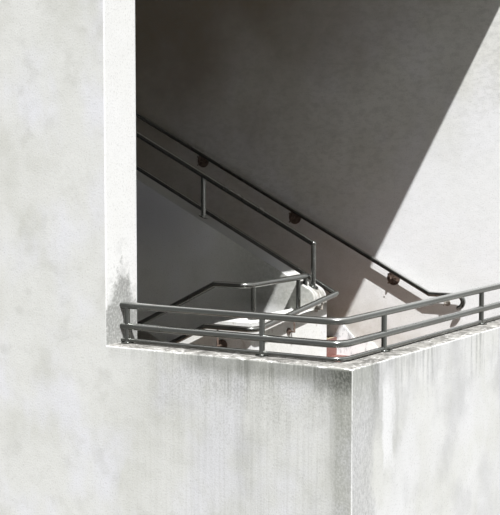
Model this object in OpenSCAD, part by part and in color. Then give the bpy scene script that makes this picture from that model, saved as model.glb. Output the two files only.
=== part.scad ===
/* [Enclosure] */
// Overall length, left to right
block_l = 5900; // [5700:50:7000]
// Overall depth, front to back
block_w = 3905; // [3805:5:4300]
// Thickness of the back wall, the left wall and the parapets
wall_t = 200; // [150:10:220]
// Thickness of the tall front wall
front_wall_t = 320; // [220:10:400]
// Width of the open corner, from the right face to the jamb
open_l = 1700; // [1500:10:1800]
// Height of the roof's underside above the ground
soffit_h = 6050; // [5600:50:6600]
// Thickness of the roof slab
roof_t = 180; // [120:10:300]
// Width of the doorways in the left wall
door_w = 1000; // [800:50:1200]
// Height of the doorways in the left wall
door_h = 2100; // [2000:50:2300]

/* [Landings and flights] */
// Thickness of the ground floor slab
base_t = 100; // [80:10:200]
// Height of one step
riser = 150; // [140:1:160]
// Depth of one step
going = 300; // [280:5:300]
// Number of risers in each flight
risers = 10; // [8:1:10]
// From the right face to the first riser of the upper flight
rise_x = 1520; // [1500:10:1600]
// From the front face to the lower inner parapet
lower_inner_y = 1348; // [1300:1:1400]
// Width of the open well between the inner parapets
well_w = 672; // [600:1:700]
// From the upper flight's first riser out to the face of the well's end
well_out = 18; // [10:1:40]

/* [Parapets] */
// Height of the level parapets above a landing
cap_h = 870; // [800:10:1000]
// Height of the lower sloping parapet above the step edges
lower_cap_h = 842; // [836:1:900]
// Radius of the bend where the lower sloping parapet turns level
cap_bend_r = 350; // [200:10:400]
// Height of the upper sloping parapet above the step edges
upper_cap_h = 858; // [850:1:900]
// Radius at the foot of the upper sloping parapet
foot_r = 95; // [60:5:100]
// Length of the lower sloping parapet past the foot of its flight
parapet_past = 100; // [80:10:200]

// Thickness of the upper inner parapet
upper_wall_t = 185; // [150:5:220]

/* [Guard rails] */
// Diameter of the guard rails
rail_d = 42.4; // [38:0.1:48.3]
// Diameter of the tube that lies on the outer parapet
base_tube_d = 25; // [20:1:27]
// Diameter of the guard posts
post_d = 33.7; // [26.9:0.1:38]
// Diameter of the post flanges
flange_d = 80; // [70:1:100]
// Thickness of the post flanges
flange_t = 6; // [4:1:10]
// From the outer face of the parapet to the guard rails
rail_inset = 155; // [100:5:160]
// Height of the top rail's axis above a level parapet
rail_h = 235; // [200:5:300]
// Height of the lower inner rail's axis above its level parapet
inner_rail_h = 241; // [200:1:300]
// From the lower flight's first riser in to the knee of its guard rail
rail_knee_in = 43; // [20:1:80]
// Height of the middle rail's axis above the parapet
mid_h = 105; // [90:5:120]
// Height of the upper flight's rail axis above its sloping parapet
slope_rail_h = 319; // [250:1:330]
// Bend radius of the outer guard's corner
bend_r = 100; // [80:5:150]
// Bend radius of the inner rails' corners
inner_bend_r = 60; // [50:5:80]
// From the right face to the first post of the front guard
front_post_at = 680; // [600:10:700]
// Between the two posts of the front guard
front_post_gap = 977; // [900:1:977]
// From the front face to the first post of the right guard
side_post_at = 686; // [600:1:700]
// Between the three posts of the right guard
side_post_gap = 1452; // [1300:1:1452]
// From the lower parapet's middle to the first post over the well's end
well_post_at = 88; // [80:1:110]
// Between the two posts over the well's end
well_post_gap = 623; // [550:1:623]
// From the upper parapet's foot to the first post of its rail
foot_post_in = 63; // [55:1:90]
// Between the three posts of the upper rail
upper_post_gap = 975; // [900:5:1000]
// From the lower parapet's end to the last post of its rail
end_post_in = 90; // [70:5:150]

/* [Handrails] */
// Diameter of the handrails
hand_d = 40; // [34:1:42]
// From a wall face to the handrail's axis
hand_gap = 60; // [50:1:75]
// From the back of the upper inner parapet to the handrail's axis
upper_hand_gap = 50; // [45:1:60]
// From the face of the well's end to the handrail's axis
well_hand_gap = 50; // [45:1:60]
// Height of the inner handrail above the upper flight's step edges
hand_h = 856; // [840:1:900]
// Height of the handrails above the lower flight's step edges
lower_hand_h = 843; // [838:1:900]
// Height of the inner handrail above a landing, where it is level
level_hand_h = 835; // [820:1:838]
// Bend radius of the inner handrail where it turns round the well's end
hand_bend_r = 50; // [45:1:60]
// From the upper flight's first riser out to the wall handrail's lower knee
wall_knee_out = 270; // [250:5:300]
// From the right face to the end bend of the upper wall handrail
wall_hand_end = 1003; // [980:1:1050]
// Length of the wall handrails past the last step edge
hand_past = 300; // [250:10:350]
// Diameter of the round plates on the back and front walls
rosette_d = 115; // [80:5:120]
// Diameter of the inner handrail's round plates
inner_rosette_d = 80; // [60:5:100]
// Thickness of the round wall plates
rosette_t = 8; // [5:1:12]
// Diameter of the small plates on the well's end and by the end return
small_rosette_d = 50; // [40:1:60]
// Diameter of the bracket arms and pins
arm_d = 14; // [10:1:18]
// Drop from the inner handrail to its wall plates
inner_drop = 132; // [110:1:140]
// Drop from the wall handrails to their wall plates
wall_drop = 70; // [60:1:90]
// From the lower flight's first riser out to the inner handrail's first bracket
hand_bracket_at = 84; // [60:1:110]
// Between the brackets of the inner handrail
hand_bracket_gap = 890; // [850:10:900]
// From the upper flight's first riser to the first bracket on its wall
wall_bracket_at = 78; // [60:1:100]
// Between the brackets on the walls
wall_bracket_gap = 938; // [900:1:940]
// From the end bend of the upper wall handrail to its first bracket
end_bracket_in = 111; // [100:1:120]
// Radius of the handrails' end returns
return_r = 48; // [40:1:60]

/* [Skirtings] */
// Height of the skirtings above a tread
skirt_h = 130; // [100:5:150]
// Thickness of the skirtings
skirt_t = 12; // [8:1:20]
// Set-back of the splay's foot behind a step edge
splay_in = 115; // [100:5:130]

/* [Hidden] */
$fn = 32;
// A landing is one riser thick, so its edge is the flight's last riser
slab_t = riser;
// A knuckle's weld stands this much proud of its bars
weld = 1.5;
tan_p = riser / going;
ang_p = atan(tan_p);
flight_l = risers * going;
z_half = base_t + risers * riser;
z_top = base_t + 2 * risers * riser;
z_cap = z_half + cap_h;
z_cap_top = z_top + cap_h;
x_up = -rise_x;
x_down = -(rise_x + going);
x_foot = -rise_x - flight_l;
x_head = x_up - flight_l + going;
x_left_in = -block_l + wall_t;
y_back = block_w - wall_t;
well_y0 = lower_inner_y + wall_t;
well_y1 = well_y0 + well_w;
upper_y = well_y1 + upper_wall_t;
well_x = well_out - rise_x;
lower_mid_y = lower_inner_y + wall_t / 2;
upper_mid_y = well_y1 + upper_wall_t / 2;
well_mid_x = well_x - wall_t / 2;
head_mid_x = x_head - wall_t / 2;
door_y0 = (front_wall_t + y_back - door_w) / 2;
door_y1 = door_y0 + door_w;
lower_end_x = x_foot - parapet_past;

// Height of the line of step edges of each flight at a place x
function upper_edge_z(x) = z_half + riser + tan_p * (x_up - x);
function lower_edge_z(x) = z_half - tan_p * (x_down - x);
// Tops of the sloping parapets and the place where each meets its level top
function upper_cap_z(x) = min(z_cap_top, upper_edge_z(x) + upper_cap_h);
function lower_cap_z(x) = min(z_cap, lower_edge_z(x) + lower_cap_h);
// Underside of the upper flight
function upper_soffit_z(x) = z_half - slab_t + tan_p * (x_up - x);
lower_knee_x = x_down - (lower_cap_h - cap_h) / tan_p;
upper_knee_x = x_up - (cap_h + riser * (risers - 1) - upper_cap_h) / tan_p;

// Colours as the photo shows them
render_white = [0.84, 0.84, 0.82];
red_oxide = [0.55, 0.24, 0.20];
grey_tube = [0.55, 0.56, 0.55];
rusty = [0.36, 0.28, 0.23];
skirt_white = [0.90, 0.90, 0.88];

// Everything is drawn from the outer right front corner at ground level,
// and moved here so that the origin is under the middle of the whole
module placed() translate([block_l / 2, -block_w / 2, 0]) children();

// A block from corner a to corner b
module block(a, b) translate(a) cube(b - a);

// An outline in x and z, drawn from y0 to y1
module plate_y(y0, y1, points)
    translate([0, y1, 0]) rotate([90, 0, 0])
        linear_extrude(y1 - y0) polygon(points);

// A straight round bar from a to b
module rod(a, b, d) {
    v = b - a;
    translate(a) rotate([0, atan2(norm([v.x, v.y]), v.z), atan2(v.y, v.x)])
        cylinder(h = norm(v), d = d);
}

// The welded knuckle where two bars meet at an angle, turned so that its
// poles lie off both bars
module knuckle(p, d) translate(p) rotate([40, 25, 0]) sphere(d = d + weld);

// Straight bars through the points, with a knuckle at each turn
module run(points, d) {
    for (i = [0 : len(points) - 2]) rod(points[i], points[i + 1], d);
    for (i = [1 : 1 : len(points) - 2]) knuckle(points[i], d);
}

// A level quarter bend about c, from angle a0 on
module quarter(c, r, d, a0)
    translate(c) rotate([0, 0, a0]) rotate_extrude(angle = 90)
        translate([r, 0]) circle(d = d);

// The bend that turns the right end of a level rail down and back under it
module end_return(p, d)
    translate(p - [0, 0, return_r]) rotate([90, 0, 0]) rotate([0, 0, -90])
        rotate_extrude(angle = 180) translate([return_r, 0]) circle(d = d);

module ground_floor_slab() color(red_oxide) {
    block([x_left_in, front_wall_t, 0], [-open_l, y_back, base_t]);
    block([-open_l, wall_t, 0], [-wall_t, y_back, base_t]);
    block([-block_l, door_y0, 0], [x_left_in, door_y1, base_t]);
}

module front_wall() color(render_white)
    block([-block_l, 0, 0], [-open_l, front_wall_t, soffit_h]);

module front_parapet() color(render_white)
    block([-open_l, 0, 0], [0, wall_t, z_cap]);

module right_parapet() color(render_white)
    block([-wall_t, wall_t, 0], [0, y_back, z_cap]);

module back_wall() color(render_white)
    block([-block_l, y_back, 0], [0, block_w, soffit_h]);

module left_wall_front_part() color(render_white)
    block([-block_l, front_wall_t, 0], [x_left_in, door_y0, soffit_h]);

module left_wall_back_part() color(render_white)
    block([-block_l, door_y1, 0], [x_left_in, y_back, soffit_h]);

module left_wall_ground_lintel() color(render_white)
    block([-block_l, door_y0, base_t + door_h],
          [x_left_in, door_y1, z_top - slab_t]);

module left_wall_top_lintel() color(render_white)
    block([-block_l, door_y0, z_top + door_h], [x_left_in, door_y1, soffit_h]);

module roof_slab() color(render_white)
    block([-block_l, 0, soffit_h], [0, block_w, soffit_h + roof_t]);

module half_landing() color(red_oxide)
    translate([0, 0, z_half - slab_t]) linear_extrude(slab_t) polygon([
        [-wall_t, wall_t], [-wall_t, y_back], [x_up, y_back],
        [x_up, upper_y], [well_x, upper_y], [well_x, well_y1],
        [well_x - wall_t, well_y1], [well_x - wall_t, well_y0],
        [well_x, well_y0], [well_x, lower_inner_y], [x_down, lower_inner_y],
        [x_down, front_wall_t], [-open_l, front_wall_t], [-open_l, wall_t]]);

module floor_landing() color(red_oxide)
    translate([0, 0, z_top - slab_t]) linear_extrude(slab_t) polygon([
        [x_head, upper_y], [x_head, y_back], [x_left_in, y_back],
        [x_left_in, door_y1], [-block_l, door_y1], [-block_l, door_y0],
        [x_left_in, door_y0], [x_left_in, front_wall_t],
        [x_head, front_wall_t], [x_head, well_y1],
        [x_head - wall_t, well_y1], [x_head - wall_t, upper_y]]);

// Steps up to the left, with the flat underside that runs into the landing
module upper_flight() color(red_oxide)
    plate_y(upper_y, y_back, concat(
        [[x_up, z_half - slab_t], [x_up, z_half + riser]],
        [for (k = [1 : risers - 2]) each [
            [x_up - k * going, z_half + k * riser],
            [x_up - k * going, z_half + (k + 1) * riser]]],
        [[x_foot, z_top - slab_t]]));

// Steps down to the left, with the underside that starts below the landing
module lower_flight() color(red_oxide)
    plate_y(front_wall_t, lower_inner_y, concat(
        [[x_up, z_half - slab_t]],
        [for (k = [1 : risers - 1]) each [
            [x_down - k * going, z_half - k * riser],
            [x_down - k * going, z_half - (k + 1) * riser]]],
        [[x_head, base_t]]));

// Turn between two points of a drawn bend
foot_step = 7.5;
bend_step = ang_p / 8;

// The level top bends down into the sloping one
module lower_inner_parapet() color(render_white) {
    c = [lower_knee_x + cap_bend_r * tan(ang_p / 2), z_cap - cap_bend_r];
    plate_y(lower_inner_y, well_y0, concat(
        [[well_x, z_half - slab_t], [well_x, z_cap]],
        [for (k = [0 : 8]) c + cap_bend_r * [-sin(k * bend_step),
                                             cos(k * bend_step)]],
        [[lower_end_x, lower_cap_z(lower_end_x)], [lower_end_x, base_t],
         [x_head, base_t], [x_up, z_half - slab_t]]));
}

// The sloping top starts in a round shoulder over the half landing
module upper_inner_parapet() color(render_white) {
    c = [well_x - foot_r,
         upper_cap_z(well_x - foot_r) - foot_r / cos(ang_p)];
    plate_y(well_y1, upper_y, concat(
        [[x_up, z_half - slab_t], [well_x, z_half - slab_t]],
        [for (a = [0 : foot_step : 90 - ang_p]) c + foot_r * [cos(a), sin(a)]],
        [c + foot_r * [sin(ang_p), cos(ang_p)], [upper_knee_x, z_cap_top],
         [x_head - wall_t, z_cap_top],
         [x_head - wall_t, upper_soffit_z(x_head - wall_t)]]));
}

module well_end_parapet() color(render_white)
    block([well_x - wall_t, well_y0, z_half], [well_x, well_y1, z_cap]);

module floor_landing_parapet() color(render_white)
    block([x_head - wall_t, front_wall_t, z_top],
          [x_head, well_y1, z_cap_top]);

// The outer guard: one line of tube round the open corner, at height h
module guard_line(h, d) {
    z = z_cap + h;
    far = rail_inset + bend_r;
    rod([-open_l, rail_inset, z], [-far, rail_inset, z], d);
    quarter([-far, far, z], bend_r, d, -90);
    rod([-rail_inset, far, z], [-rail_inset, y_back, z], d);
}
guard_post_at = concat(
    [for (k = [0, 1]) [-front_post_at - k * front_post_gap, rail_inset]],
    [for (k = [0 : 2]) [-rail_inset, side_post_at + k * side_post_gap]]);
base_tube_h = flange_t + base_tube_d / 2;

module guard_top_rail() color(grey_tube) guard_line(rail_h, rail_d);

module guard_mid_rail() color(grey_tube) guard_line(mid_h, rail_d);

module guard_base_tube() color(grey_tube) difference() {
    guard_line(base_tube_h, base_tube_d);
    guard_post_bars();
}

module guard_post_bars()
    for (p = guard_post_at) rod([p.x, p.y, z_cap + flange_t],
                                [p.x, p.y, z_cap + rail_h], post_d);

module guard_posts() color(grey_tube) difference() {
    guard_post_bars();
    guard_line(rail_h, rail_d);
    guard_line(mid_h, rail_d);
}

module flange(p) translate(p) cylinder(h = flange_t, d = flange_d);

module guard_post_flanges() color(grey_tube)
    for (p = guard_post_at) flange([p.x, p.y, z_cap]);

// The lower inner rail: up the lower flight, then level round the well's end
// to a short leg on the upper parapet
lower_rail_end_x = lower_end_x + end_post_in;
rail_knee_x = x_down - rail_knee_in;
function lower_rail_z(x) =
    z_cap + inner_rail_h - tan_p * max(0, rail_knee_x - x);
lower_post_x = [for (k = [1 : 3])
    rail_knee_x - k * (rail_knee_x - lower_rail_end_x) / 3];
well_post_y = [for (k = [0, 1]) lower_mid_y + well_post_at + k * well_post_gap];
well_leg_y = well_y1 + wall_t / 4;
leg_back = 10;
module lower_rail_line() {
    z = z_cap + inner_rail_h;
    r = inner_bend_r;
    foot = [lower_rail_end_x, lower_mid_y, lower_rail_z(lower_rail_end_x)];
    knuckle(foot, rail_d);
    run([foot, [rail_knee_x, lower_mid_y, z],
         [well_mid_x - r, lower_mid_y, z]], rail_d);
    quarter([well_mid_x - r, lower_mid_y + r, z], r, rail_d, -90);
    rod([well_mid_x, lower_mid_y + r, z], [well_mid_x, well_leg_y, z], rail_d);
    knuckle([well_mid_x, well_leg_y, z], rail_d);
}

module lower_inner_rail() color(grey_tube) lower_rail_line();

module lower_inner_posts() color(grey_tube) difference() {
    union() {
        for (x = lower_post_x)
            rod([x, lower_mid_y, lower_cap_z(x) + flange_t],
                [x, lower_mid_y, lower_rail_z(x)], post_d);
        for (y = well_post_y) rod([well_mid_x, y, z_cap + flange_t],
                                  [well_mid_x, y, z_cap + inner_rail_h], post_d);
        rod([well_mid_x, well_leg_y - leg_back, z_cap],
            [well_mid_x, well_leg_y - leg_back, z_cap + inner_rail_h], post_d);
    }
    lower_rail_line();
    upper_inner_parapet();
}

// A flange tilted to lie on a sloping parapet top
module sloped_flange(p, a) translate(p) rotate([0, a, 0])
    cylinder(h = flange_t, d = flange_d);

module lower_inner_flanges() color(grey_tube) {
    for (x = lower_post_x)
        sloped_flange([x, lower_mid_y, lower_cap_z(x)], -ang_p);
    for (y = well_post_y) flange([well_mid_x, y, z_cap]);
}

// The upper inner rail: from its foot post up the flight, then level
// round the floor landing to the front wall
upper_foot_x = well_x - foot_post_in;
upper_post_x = [for (k = [0 : 2]) upper_foot_x - k * upper_post_gap];
head_post_y = [for (k = [1, 2])
    upper_mid_y - k * (upper_mid_y - front_wall_t) / 3];
module upper_rail_line() {
    z0 = upper_cap_z(upper_foot_x);
    z = z_cap_top + rail_h;
    x_k = upper_foot_x - (z - z0 - slope_rail_h) / tan_p;
    r = inner_bend_r;
    foot = [upper_foot_x, upper_mid_y, z0 + slope_rail_h];
    knuckle(foot, rail_d);
    run([foot, [x_k, upper_mid_y, z],
         [head_mid_x + r, upper_mid_y, z]], rail_d);
    quarter([head_mid_x + r, upper_mid_y - r, z], r, rail_d, 90);
    rod([head_mid_x, upper_mid_y - r, z], [head_mid_x, front_wall_t, z], rail_d);
}

module upper_inner_rail() color(grey_tube) upper_rail_line();

module upper_inner_posts() color(grey_tube) difference() {
    union() {
        for (x = upper_post_x)
            rod([x, upper_mid_y, upper_cap_z(x) + flange_t],
                [x, upper_mid_y, upper_cap_z(x) + slope_rail_h], post_d);
        for (y = head_post_y) rod([head_mid_x, y, z_cap_top + flange_t],
                                  [head_mid_x, y, z_cap_top + rail_h], post_d);
    }
    upper_rail_line();
}

module upper_inner_flanges() color(grey_tube) {
    for (x = upper_post_x)
        sloped_flange([x, upper_mid_y, upper_cap_z(x)], ang_p);
    for (y = head_post_y) flange([head_mid_x, y, z_cap_top]);
}

// The inner handrail runs on from the lower flight round the well's end
hand_lower_y = lower_inner_y - hand_gap;
hand_upper_y = upper_y + upper_hand_gap;
hand_well_x = well_x + well_hand_gap;
function hand_lower_z(x) =
    min(z_half + level_hand_h, lower_edge_z(x) + lower_hand_h);
function hand_upper_z(x) = min(z_top + level_hand_h, upper_edge_z(x) + hand_h);
hand_knee_x = x_down - (lower_hand_h - level_hand_h) / tan_p;
hand_head_x = x_up - (riser * (risers - 1) + level_hand_h - hand_h) / tan_p;
// Height of the handrail over the well's end, where it climbs along y
function well_hand_z(y) = let (
    y0 = hand_lower_y + 2 * hand_bend_r, z0 = hand_lower_z(x_up),
    z1 = hand_upper_z(hand_well_x))
    z0 + (z1 - z0) * (y - y0) / (hand_upper_y - y0);
module hand_line() {
    r = hand_bend_r;
    z = hand_lower_z(x_up);
    run([[x_foot, hand_lower_y, hand_lower_z(x_foot)],
         [hand_knee_x, hand_lower_y, z],
         [hand_well_x - r, hand_lower_y, z]], hand_d);
    quarter([hand_well_x - r, hand_lower_y + r, z], r, hand_d, -90);
    z_head = hand_upper_z(hand_head_x);
    run([[hand_well_x, hand_lower_y + r, z],
         [hand_well_x, hand_lower_y + 2 * r, z],
         [hand_well_x, hand_upper_y, hand_upper_z(hand_well_x)],
         [hand_head_x, hand_upper_y, z_head],
         [head_mid_x, hand_upper_y, z_head]], hand_d);
}

module inner_handrail() color(grey_tube) hand_line();

// A wall plate at p, with its arm reaching out and a pin that rises from it
module bracket(p, out, reach, rise, plate_d) {
    rod(p, p + rosette_t * out, plate_d);
    run([p + rosette_t * out, p + reach * out,
         p + reach * out + [0, 0, rise]], arm_d);
}

// The well's end has one long bracket and one short one, each given as its
// place along y and its plate's height from the parapet's top
well_brackets = [[1845, -112], [2245, 8]];

module inner_handrail_brackets() color(rusty) difference() {
    union() {
        for (k = [0 : 3])
            let (x = x_down + hand_bracket_at - k * hand_bracket_gap)
                bracket([x, lower_inner_y, hand_lower_z(x) - inner_drop],
                        [0, -1, 0], hand_gap, inner_drop, inner_rosette_d);
        for (b = well_brackets)
            bracket([well_x, b[0], z_cap + b[1]], [1, 0, 0], well_hand_gap,
                    well_hand_z(b[0]) - z_cap - b[1], small_rosette_d);
        for (k = [1 : 3]) let (x = x_up - k * hand_bracket_gap)
            bracket([x, upper_y, hand_upper_z(x) - inner_drop],
                    [0, 1, 0], upper_hand_gap, inner_drop, inner_rosette_d);
    }
    hand_line();
}

// A handrail on the wall of the upper flight, level at both ends and bent
// back under itself at the lower one
wall_hand_y = y_back - hand_gap;
wall_knee_x = x_up + wall_knee_out;
function wall_hand_z(x) =
    z_cap + tan_p * min(max(wall_knee_x - x, 0), wall_knee_x - head_mid_x);
module upper_wall_line() {
    run([[-wall_hand_end, wall_hand_y, z_cap],
         [wall_knee_x, wall_hand_y, z_cap],
         [head_mid_x, wall_hand_y, wall_hand_z(head_mid_x)],
         [head_mid_x - hand_past, wall_hand_y, wall_hand_z(head_mid_x)]], hand_d);
    end_return([-wall_hand_end, wall_hand_y, z_cap], hand_d);
}

module upper_wall_handrail() color(grey_tube) upper_wall_line();

// The bracket by the end return has a small plate, the others large ones
module upper_wall_brackets() color(rusty) difference() {
    union() {
        bracket([-wall_hand_end - end_bracket_in, y_back, z_cap - wall_drop],
                [0, -1, 0], hand_gap, wall_drop, small_rosette_d);
        for (k = [0 : 3])
            let (x = x_up - wall_bracket_at - k * wall_bracket_gap)
                bracket([x, y_back, wall_hand_z(x) - wall_drop],
                        [0, -1, 0], hand_gap, wall_drop, rosette_d);
    }
    upper_wall_line();
}

// The matching handrail on the front wall beside the lower flight
lower_hand_y = front_wall_t + hand_gap;
function front_hand_z(x) = hand_lower_z(max(x, x_foot));
module lower_wall_line()
    run([[x_down + hand_gap, lower_hand_y, front_hand_z(x_down)],
         [hand_knee_x, lower_hand_y, front_hand_z(x_down)],
         [x_foot, lower_hand_y, front_hand_z(x_foot)],
         [x_foot - hand_past, lower_hand_y, front_hand_z(x_foot)]], hand_d);

module lower_wall_handrail() color(grey_tube) lower_wall_line();

module lower_wall_brackets() color(rusty) difference() {
    for (k = [0 : 3])
        let (x = x_down - wall_bracket_at - k * wall_bracket_gap)
            bracket([x, front_wall_t, front_hand_z(x) - wall_drop],
                    [0, 1, 0], hand_gap, wall_drop, rosette_d);
    lower_wall_line();
}

// A skirting that follows the steps, splayed at 45 degrees over each riser.
// way is -1 where the flight climbs to the left and 1 to the right
module step_skirting(y0, x0, z0, way) {
    plate_y(y0, y0 + skirt_t, concat(
        [[x0 - way * (going - splay_in), z0]],
        [for (k = [0 : risers - 1]) each [
            [x0 + way * k * going, z0 + k * riser],
            [x0 + way * k * going, z0 + (k + 1) * riser]]],
        [[x0 + way * ((risers - 1) * going + splay_in), z0 + risers * riser]],
        [for (k = [risers - 1 : -1 : 0]) each [
            [x0 + way * (k * going + splay_in),
             z0 + (k + 1) * riser + skirt_h],
            [x0 + way * (k * going - going + riser + splay_in),
             z0 + (k + 1) * riser + skirt_h]]],
        [[x0 - way * (going - splay_in), z0 + skirt_h]]));
}

module upper_flight_skirting() color(skirt_white)
    step_skirting(y_back - skirt_t, x_up, z_half, -1);

module lower_flight_skirting() color(skirt_white)
    step_skirting(front_wall_t, x_foot, base_t, 1);

module half_landing_skirting() color(skirt_white) {
    x0 = x_up + going - splay_in;
    z1 = z_half + skirt_h;
    block([x0, y_back - skirt_t, z_half], [-wall_t, y_back, z1]);
    block([-wall_t - skirt_t, wall_t, z_half], [-wall_t, y_back - skirt_t, z1]);
    block([-open_l, wall_t, z_half],
          [-wall_t - skirt_t, wall_t + skirt_t, z1]);
}

module floor_landing_skirting() color(skirt_white) {
    x1 = x_head - splay_in;
    z1 = z_top + skirt_h;
    block([x_left_in, y_back - skirt_t, z_top], [x1, y_back, z1]);
    block([x_left_in, door_y1, z_top],
          [x_left_in + skirt_t, y_back - skirt_t, z1]);
    block([x_left_in, front_wall_t + skirt_t, z_top],
          [x_left_in + skirt_t, door_y0, z1]);
    block([x_left_in, front_wall_t, z_top],
          [x_head - wall_t, front_wall_t + skirt_t, z1]);
}

placed() ground_floor_slab();
placed() front_wall();
placed() front_parapet();
placed() right_parapet();
placed() back_wall();
placed() left_wall_front_part();
placed() left_wall_back_part();
placed() left_wall_ground_lintel();
placed() left_wall_top_lintel();
placed() half_landing();
placed() floor_landing();
placed() roof_slab();
placed() lower_flight();
placed() upper_flight();
placed() lower_inner_parapet();
placed() upper_inner_parapet();
placed() well_end_parapet();
placed() floor_landing_parapet();
placed() guard_top_rail();
placed() guard_mid_rail();
placed() guard_base_tube();
placed() guard_posts();
placed() guard_post_flanges();
placed() lower_inner_rail();
placed() lower_inner_posts();
placed() lower_inner_flanges();
placed() upper_inner_rail();
placed() upper_inner_posts();
placed() upper_inner_flanges();
placed() inner_handrail();
placed() inner_handrail_brackets();
placed() upper_wall_handrail();
placed() upper_wall_brackets();
placed() lower_wall_handrail();
placed() lower_wall_brackets();
placed() upper_flight_skirting();
placed() lower_flight_skirting();
placed() half_landing_skirting();
placed() floor_landing_skirting();
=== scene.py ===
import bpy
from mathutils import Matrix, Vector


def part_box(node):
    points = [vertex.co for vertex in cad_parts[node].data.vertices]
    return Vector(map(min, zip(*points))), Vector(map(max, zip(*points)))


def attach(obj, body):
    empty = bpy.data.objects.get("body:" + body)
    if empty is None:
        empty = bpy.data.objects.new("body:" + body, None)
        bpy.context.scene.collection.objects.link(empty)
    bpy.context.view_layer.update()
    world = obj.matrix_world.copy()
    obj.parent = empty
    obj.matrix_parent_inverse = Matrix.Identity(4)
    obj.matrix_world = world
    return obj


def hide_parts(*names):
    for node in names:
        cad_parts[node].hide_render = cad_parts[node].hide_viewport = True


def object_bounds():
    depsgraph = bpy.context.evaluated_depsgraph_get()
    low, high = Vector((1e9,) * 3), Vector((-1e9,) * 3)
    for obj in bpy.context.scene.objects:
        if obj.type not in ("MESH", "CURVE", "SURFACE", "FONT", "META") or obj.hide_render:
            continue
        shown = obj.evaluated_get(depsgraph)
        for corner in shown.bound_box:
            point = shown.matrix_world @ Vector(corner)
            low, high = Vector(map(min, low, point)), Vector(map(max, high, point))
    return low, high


bl_info = {
    "name": "Fire escape stair",
    "version": (1, 0, 0),
    "blender": (4, 5, 0),
    "location": "3D View > Sidebar > Stair",
    "description": "Finishes a concrete fire escape stair and sets its stage",
    "category": "Object",
}

import math

import bmesh
import bpy
from mathutils import Vector
from mathutils.bvhtree import BVHTree

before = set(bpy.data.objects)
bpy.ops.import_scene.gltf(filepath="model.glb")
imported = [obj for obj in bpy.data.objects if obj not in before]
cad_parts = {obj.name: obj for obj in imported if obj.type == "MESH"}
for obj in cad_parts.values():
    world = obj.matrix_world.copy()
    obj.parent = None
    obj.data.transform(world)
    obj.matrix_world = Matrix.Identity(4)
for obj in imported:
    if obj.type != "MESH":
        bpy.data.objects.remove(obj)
cad_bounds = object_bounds()

MM = 0.001

# A flight's rise over its going
SLOPE = 150 / 300
# Thickness of the wall plates and of the post flanges
PLATE = 8 * MM
FLANGE = 6 * MM
# From a post's axis to its bolts and to the weld round it
BOLT_RING = 28.5 * MM
WELD_RING = 16.8 * MM
BOLT_HEIGHT = 5 * MM
SCREW_HEIGHT = 2 * MM
# The screws' ring and the widest screw, as shares of a plate's width
SCREW_RING = 0.36
SCREW_SHARE = 0.16
# A washer's width and height, as shares of its head's
WASHER_WIDTH = 1.25
WASHER_HEIGHT = 0.4
# From a wall to the end of a step's nosing
NOSING_GAP = 60 * MM
NOSING_THICK = 3 * MM
# How far a nosing stands out past its step
NOSING_LIP = 1 * MM
# From a floor's sides to the path worn on it
PATH_EDGE = 0.45

# A tread's or landing's face points up by more than this
LEVEL = 0.99
# Vertices of loose triangles this near each other are joined
JOIN = 0.1 * MM
TUBE_JOIN = 0.05 * MM
# Faces that meet at less than this are flat together, in radians
FLAT = 0.01
# An edge of the concrete wears where it is sharper than this, in radians
WORN_ANGLE = 0.3
# A place can lie inside another node only with its face this near
NEAR = 20 * MM
# How far off an edge's faces its air is looked for
AIR = 5 * MM
# A tube's edge stays sharp where it turns by more than this, in radians
CREASE = 0.75

# The ways in which the key lamp and the soft lamp behind shine, and their
# widths in degrees
KEY_WAY = (-0.447, 0.40, -0.84)
KEY_SPREAD = 0.55
BACK_WAY = (0.62, -0.70, -0.36)
BACK_SPREAD = 25
# The camera's place from the top of the stair's open corner, and its turns
# in degrees
CAMERA_PLACE = (3.772, -7.074, 1.313)
CAMERA_DOWN = 4.96
CAMERA_LEFT = 32.1
CAMERA_SENSOR = 36
CAMERA_CLIP = 200
# From the middle of the stage's floor to its sides, in metres
FLOOR_REACH = 40

# The index of refraction of dried paint and of cement
PAINT_IOR = 1.5

# The frame's axes, by number
RIGHT, BACK, UP = range(3)

# The nodes by finish
WALLS = ["back_wall", "left_wall_front_part", "left_wall_back_part",
         "left_wall_ground_lintel", "left_wall_top_lintel"]
INNER_PARAPETS = ["lower_inner_parapet", "upper_inner_parapet",
                  "well_end_parapet", "floor_landing_parapet"]
FLOORS = ["ground_floor_slab", "half_landing", "floor_landing"]
FLIGHTS = ["lower_flight", "upper_flight"]
TUBES = ["guard_top_rail", "guard_mid_rail", "guard_base_tube", "guard_posts",
         "guard_post_flanges", "lower_inner_rail", "lower_inner_posts",
         "lower_inner_flanges", "upper_inner_rail", "upper_inner_posts",
         "upper_inner_flanges", "inner_handrail",
         "upper_wall_handrail", "lower_wall_handrail"]
RUSTY_PLATES = ["inner_handrail_brackets", "upper_wall_brackets",
                "lower_wall_brackets"]
SKIRTINGS = ["upper_flight_skirting", "lower_flight_skirting",
             "half_landing_skirting", "floor_landing_skirting"]
CONCRETE = (WALLS + INNER_PARAPETS + FLOORS + FLIGHTS
            + ["front_wall", "front_parapet", "right_parapet", "roof_slab"])

# Places on the frame, in metres: the open corner's two faces, the outer
# parapets' top, the jamb, the upper flight's foot and the back wall's face
low, high = (Vector(corner) for corner in cad_bounds)
front_low, front_high = (Vector(c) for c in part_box("front_parapet"))
right_x = high.x
front_y = low.y
cap_z = front_high.z
jamb_x = front_low.x
foot_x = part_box("upper_inner_parapet")[1][0]
back_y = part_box("back_wall")[0][1]


def to_linear(channel):
    """One sRGB channel, from 0 to 1, as linear light."""
    if channel <= 0.04045:
        return channel / 12.92
    return ((channel + 0.055) / 1.055) ** 2.4


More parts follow.
